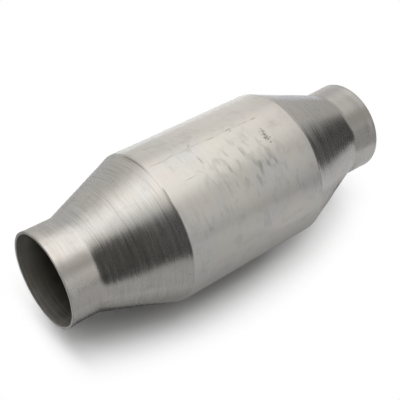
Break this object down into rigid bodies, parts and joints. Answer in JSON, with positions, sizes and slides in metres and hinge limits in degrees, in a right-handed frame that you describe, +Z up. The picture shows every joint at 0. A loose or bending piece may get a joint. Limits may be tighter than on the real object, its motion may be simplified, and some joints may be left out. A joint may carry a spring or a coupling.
{
  "type": "catalytic converter",
  "caption": "Spun steel catalytic converter: a cylindrical body with a cone and a straight pipe neck at each end, around a wound foil honeycomb.",
  "frame": {"origin": "on the converter's axis, half-way between the two neck ends", "axes": "+X along the axis, the way the gas flows, from the inlet neck to the outlet neck; +Z up, with the converter lying on its side"},
  "size_m": [0.254, 0.1016, 0.1016],
  "materials": {
    "casing_steel": "satin, spun, with circumferential tool lines",
    "mantle_steel": "mill finish",
    "foil_steel": "matt, with a pale brown washcoat"
  },
  "bodies": {
    "root": {"shell": "casing_steel", "core_mantle": "mantle_steel", "flat_foil": "foil_steel", "corrugated_foil": "foil_steel"}
  },
  "joints": []
}
